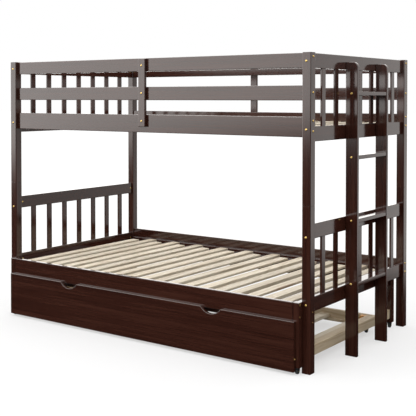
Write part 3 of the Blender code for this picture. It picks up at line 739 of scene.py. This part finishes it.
def trundle():
    """The front panel, end rails with corner blocks, casters, back rail and slats."""
    trundle_panel()
    for along, end in END_SIGNS:
        node = f"trundle_end_rail_{along}"
        low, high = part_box(node)
        xs = sorted((high.x, high.x - END_RAIL_THICK) if end > 0 else (low.x, low.x + END_RAIL_THICK))
        made = board(f"{node}_board", (xs[0], low.y, low.z), (xs[1], high.y, high.z), "Y",
                     PINE_RAIL, TRUNDLE, SLAT_EDGE)
        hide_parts(node)
        inner = (low.x, xs[0]) if end > 0 else (xs[1], high.x)
        board(f"{node}_corner_block", (inner[0], high.y - CORNER_BLOCK, low.z + BLOCK_RAISED),
              (inner[1], high.y - SEAT_GAP, high.z - SEAT_GAP), "Z", BLOCK, TRUNDLE, SLAT_EDGE)
        for across, _ in DEPTH_SIGNS:
            caster(f"trundle_caster_{{}}_{across}_{along}", TRUNDLE)
    node = "trundle_back_rail"
    low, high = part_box(node)
    front = high.y - BACK_RAIL_THICK
    made = board(f"{node}_board", (low.x, front, low.z), high, "X", PINE_RAIL, TRUNDLE, SLAT_EDGE)
    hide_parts(node)
    reach = END_RAIL_THICK + CORNER_BLOCK + SEAT_GAP
    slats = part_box("trundle_slat_set")
    seat_top = slats[0].z - SEAT_GAP
    board(f"{node}_ledge", (low.x + reach, low.y, seat_top - BATTEN_HIGH),
          (high.x - reach, front + LET_IN, seat_top), "X", PINE_RAIL, TRUNDLE, SLAT_EDGE)
    # The first and last slats stop in front of the corner blocks
    rear = slats[1].y
    short = rear - CORNER_BLOCK - 2 * SEAT_GAP
    ends = (0, TRUNDLE_SLATS - 1)
    slat_set("trundle_slat_set", TRUNDLE_SLATS, PINE, TRUNDLE, lambda i: short if i in ends else rear)


# Bolts, by the boards that they hold

END_BOLT_Z = (1.442, 1.127, 0.631, 0.318)
SIDE_BOLT_Z = (1.463, 1.2975, 1.1675, 1.119)
REAR_BOLT_Z = (0.352, 0.305)
BEAM_BOLT_Z = (0.285, 0.237)
UPRIGHT_BOLT_Z = (1.442, 1.297, 1.151)
LEG_BOLT_Z = (0.320, 0.266)
END_BOLT_INSET = 0.023
SIDE_BOLT_INSET = 0.0235
LEG_BOLT_INSET = 0.009
PANEL_SCREW_Z = 0.074
PROUD = 0.0002
NUT_RADIUS = 0.005
NUT_INSET = 0.014
NUT_PROFILE = ((NUT_RADIUS, -0.0006), (NUT_RADIUS, 0.0004), (NUT_RADIUS * 0.9, 0.0008), (0.0012, 0.0008),
               (0.0012, 0.0001), (0, 0.0001))


def bed_bolts():
    """Bolts in the posts, front beam, guard uprights and ladder."""
    spots = []
    beam_spots = []
    low_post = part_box("lower_post_front_left")[0]
    high_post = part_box("lower_post_rear_right")[1]
    for y, way in ((low_post.y - PROUD, -1), (high_post.y + PROUD, 1)):
        for x in (low_post.x + END_BOLT_INSET, high_post.x - END_BOLT_INSET):
            spots += [((x, y, z), (0, way, 0)) for z in END_BOLT_Z]
    for x, way in ((low_post.x - PROUD, -1), (high_post.x + PROUD, 1)):
        front = low_post.y + SIDE_BOLT_INSET
        rear = high_post.y - SIDE_BOLT_INSET
        beam_spots += [((x, front, z), (way, 0, 0)) for z in BEAM_BOLT_Z]
        spots += [((x, front, z), (way, 0, 0)) for z in SIDE_BOLT_Z]
        spots += [((x, rear, z), (way, 0, 0)) for z in SIDE_BOLT_Z + REAR_BOLT_Z]
    bolts("post_bolts", spots, BED)
    # The beam bolts get the darker brass copy, painted shade for their dim side faces
    bolts("beam_bolts", beam_spots, BED, SCREW_RADIUS, SHADED_BRASS)
    spots = []
    for across, side in DEPTH_SIGNS:
        low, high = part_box(f"guard_upright_{across}")
        y = low.y - PROUD if side < 0 else high.y + PROUD
        spots += [(((low.x + high.x) / 2, y, z), (0, side, 0)) for z in UPRIGHT_BOLT_Z]
    bolts("guard_upright_bolts", spots, BED)
    spots = []
    for across, side in DEPTH_SIGNS:
        low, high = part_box(f"ladder_stile_{across}")
        y = low.y - PROUD if side < 0 else high.y + PROUD
        for i in range(LADDER_TREADS):
            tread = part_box(f"ladder_tread_{i + 1}")
            spots.append((((low.x + high.x) / 2, y, (tread[0].z + tread[1].z) / 2), (0, side, 0)))
    bolts("ladder_bolts", spots, BED)


def barrel_nuts():
    """The barrel nuts that the post bolts screw into, on the inner face of each end panel rail."""
    shape = bmesh.new()
    for level in ("lower", "upper"):
        for along, end in END_SIGNS:
            low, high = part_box(f"{level}_end_panel_{along}")
            x = low.x - PROUD if end > 0 else high.x + PROUD
            for z in (low.z + PANEL_RAIL_HIGH / 2, high.z - PANEL_RAIL_HIGH / 2):
                for y in (low.y + NUT_INSET, high.y - NUT_INSET):
                    place = towards((x, y, z), (-end, 0, 0))
                    lathe(shape, NUT_PROFILE, HEAD_SIDES, place)
    finished("barrel_nuts", shape, BRASS, BED)


def moving_bolts():
    """Bolts in the pull-out's front legs, and a screw in each end of the trundle panel."""
    spots = []
    for along, end in END_SIGNS:
        low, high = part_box(f"pullout_leg_front_{along}")
        x = high.x + PROUD if end > 0 else low.x - PROUD
        spots += [((x, low.y + LEG_BOLT_INSET, z), (end, 0, 0)) for z in LEG_BOLT_Z]
    # The leg bolts get the darker brass copy, painted shade for their dim side faces
    bolts("pullout_leg_bolts", spots, PULLOUT, BOLT_RADIUS, SHADED_BRASS)
    low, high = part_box("trundle_front_panel")
    middle = low.y + TRUNDLE_PANEL_THICK / 2
    spots = [((high.x + PROUD, middle, PANEL_SCREW_Z), (1, 0, 0))]
    spots.append(((low.x - PROUD, middle, PANEL_SCREW_Z), (-1, 0, 0)))
    bolts("trundle_panel_screws", spots, TRUNDLE, SCREW_RADIUS)


# Studio

FLOOR_HALF = 60.0
FLOOR_GREY = 0.40
FLOOR_GLOW = 0.52
KEY_SPREAD = 60
KEY_POWER = 1.1
KEY_WAY = (0.50, 0.78, -0.38)


def studio():
    """A pale floor and a soft key light from the front left."""
    floor_shape = bmesh.new()
    bmesh.ops.create_grid(floor_shape, x_segments=1, y_segments=1, size=FLOOR_HALF)
    mesh = bpy.data.meshes.new("floor")
    floor_shape.to_mesh(mesh)
    floor_shape.free()
    floor = bpy.data.objects.new("floor", mesh)
    bpy.context.scene.collection.objects.link(floor)
    material, shader = new_material("pale_floor")
    set_inputs(shader, Base_Color=(*grey(FLOOR_GREY), 1.0), Roughness=0.9,
               Emission_Color=(*grey(1.0), 1.0), Emission_Strength=FLOOR_GLOW)
    shader.inputs["Specular IOR Level"].default_value = 0.0
    mesh.materials.append(material)
    floor.visible_glossy = False
    floor.visible_diffuse = False
    light = bpy.data.lights.new("key", "SUN")
    light.angle = math.radians(KEY_SPREAD)
    light.energy = KEY_POWER
    lamp = bpy.data.objects.new("key", light)
    bpy.context.scene.collection.objects.link(lamp)
    lamp.rotation_euler = Vector(KEY_WAY).to_track_quat("-Z", "Y").to_euler()
    lamp.visible_glossy = False


def sloped(sky, part, base, east, north):
    """base + east * x + north * y of a world direction."""
    first = maths(sky, "MULTIPLY_ADD", part.outputs["X"], east, base)
    return maths(sky, "MULTIPLY_ADD", part.outputs["Y"], north, first)


def step_up(sky, value, low, high):
    """A smooth step from 0 at low to 1 at high."""
    node = add_node(sky, "ShaderNodeMapRange", [("Value", value)], interpolation_type="SMOOTHSTEP")
    node.inputs["From Min"].default_value = low
    node.inputs["From Max"].default_value = high
    return node.outputs["Result"]


def background(sky, colour):
    node = add_node(sky, "ShaderNodeBackground")
    node.inputs["Color"].default_value = (*colour, 1.0)
    return node


def world():
    """White behind the bed. Gloss sees a bright room over a dark floor, brightest to the front left."""
    sky = bpy.data.worlds.new("studio")
    bpy.context.scene.world = sky
    sky.use_nodes = True
    sky.node_tree.nodes.clear()
    seen = background(sky, (1.0, 1.0, 1.0))
    ambient = background(sky, (1.0, 1.0, 1.0))
    gloss = background(sky, (1.0, 0.985, 0.96))
    seen.inputs["Strength"].default_value = 1.0
    way = add_node(sky, "ShaderNodeTexCoord").outputs["Generated"]
    part = add_node(sky, "ShaderNodeSeparateXYZ", [(0, way)])
    up = part.outputs["Z"]
    # The dark floor ends lower towards the back, and a little lower towards the left
    edge = sloped(sky, part, -0.112, 0.048, -0.113)
    rise = step_up(sky, maths(sky, "SUBTRACT", up, edge), -0.028, 0.028)
    power = sloped(sky, part, 1.95, -1.27, -0.46)
    overhead = maths(sky, "MULTIPLY_ADD", step_up(sky, up, 0.35, 0.75), 1.0, 0.015)
    link(sky, maths(sky, "MULTIPLY_ADD", rise, power, overhead), gloss.inputs["Strength"])
    above = step_up(sky, up, 0.0, 0.6)
    link(sky, maths(sky, "MULTIPLY_ADD", above, 1.25, 0.18), ambient.inputs["Strength"])
    rays = add_node(sky, "ShaderNodeLightPath")
    shades = [(0, rays.outputs["Is Glossy Ray"]), (1, ambient.outputs[0]), (2, gloss.outputs[0])]
    lit = add_node(sky, "ShaderNodeMixShader", shades)
    shades = [(0, rays.outputs["Is Camera Ray"]), (1, lit.outputs[0]), (2, seen.outputs[0])]
    whole = add_node(sky, "ShaderNodeMixShader", shades)
    add_node(sky, "ShaderNodeOutputWorld", [("Surface", whole.outputs[0])])


CAMERA_TILT = 0.02301
CAMERA_TURN = 0.62742


def camera():
    """A long lens at the front right, looking slightly downwards, with the frame shifted down."""
    view = bpy.data.cameras.new("camera")
    view.sensor_width = 36.0
    view.lens = 75.88
    view.shift_y = -0.2169
    eye = bpy.data.objects.new("camera", view)
    bpy.context.scene.collection.objects.link(eye)
    eye.location = (2.95285, -4.03136, 1.27445)
    eye.rotation_euler = (math.pi / 2 - CAMERA_TILT, 0.0, CAMERA_TURN)
    bpy.context.scene.camera = eye
    bpy.context.scene.view_settings.view_transform = "Standard"


posts()
end_panels()
guard_rails()
upper_bunk()
lower_bunk()
ladder()
pullout()
trundle()
bed_bolts()
barrel_nuts()
moving_bolts()
studio()
world()
camera()
